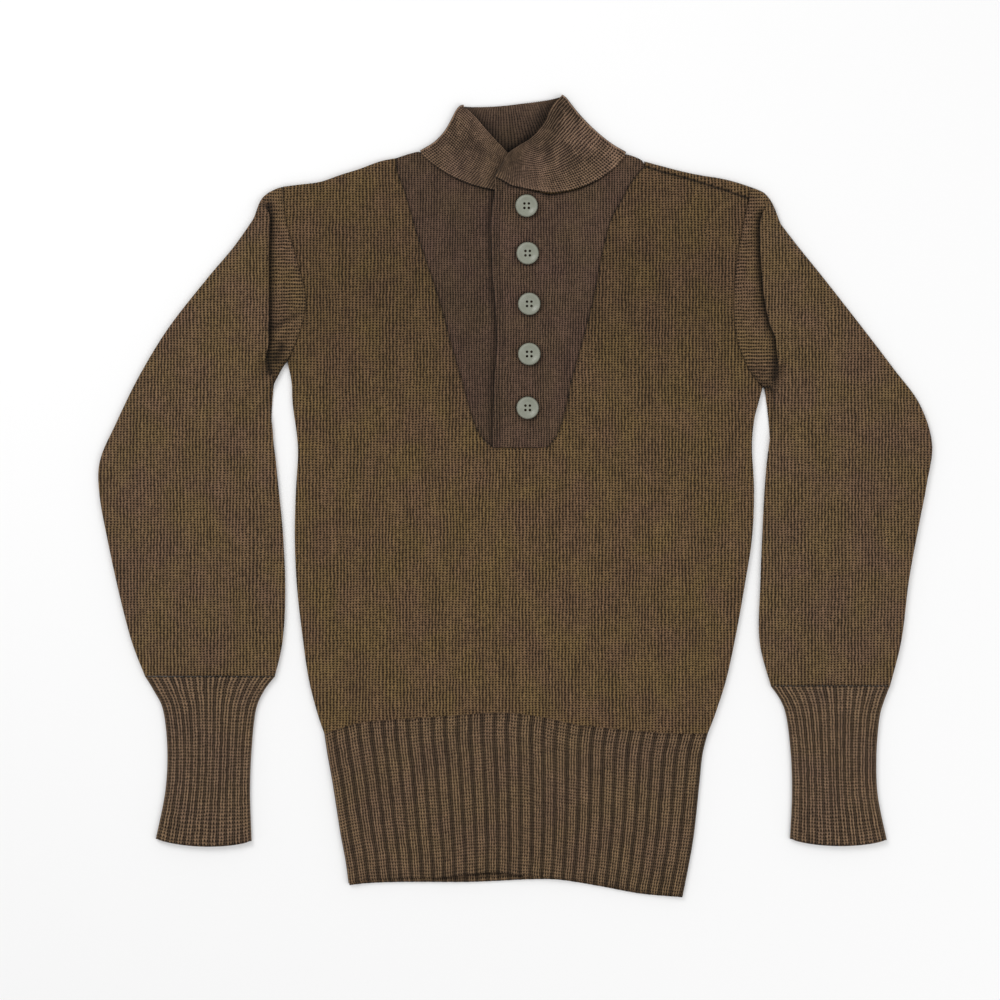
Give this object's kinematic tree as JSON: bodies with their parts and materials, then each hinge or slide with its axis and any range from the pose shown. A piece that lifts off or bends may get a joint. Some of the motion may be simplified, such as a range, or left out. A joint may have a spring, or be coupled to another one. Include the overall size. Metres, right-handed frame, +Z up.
{
  "type": "henley sweater",
  "caption": "Long-sleeved henley sweater laid flat, front up: ribbed stand collar, deep chest insert with a buttoned placket, ribbed cuffs and a deep ribbed hem.",
  "frame": {"origin": "centre of the base of the garment's box, where it lies on the table", "axes": "+X from the viewer's left sleeve to the viewer's right sleeve, +Y from the hem to the collar, +Z up from the table, out of the garment's front"},
  "size_m": [0.7929, 0.7609, 0.0125],
  "materials": {
    "body_knit": "olive brown wool, plain knit",
    "insert_knit": "darker brown wool, finer plain knit",
    "collar_rib": "brown wool, fine rib, double",
    "hem_and_cuff_rib": "brown wool, coarse rib",
    "sleeve_knit": "olive brown wool, plain knit",
    "button_plastic": "grey green, satin"
  },
  "bodies": {
    "root": {"back_panel": "body_knit", "front_panel": "body_knit", "insert_left": "insert_knit", "insert_right": "insert_knit", "collar": "collar_rib", "hem_rib_front": "hem_and_cuff_rib", "hem_rib_back": "hem_and_cuff_rib", "sleeve_left": "sleeve_knit", "sleeve_right": "sleeve_knit", "cuff_left": "hem_and_cuff_rib", "cuff_right": "hem_and_cuff_rib", "button_1": "button_plastic", "button_2": "button_plastic", "button_3": "button_plastic", "button_4": "button_plastic", "button_5": "button_plastic"}
  },
  "joints": []
}
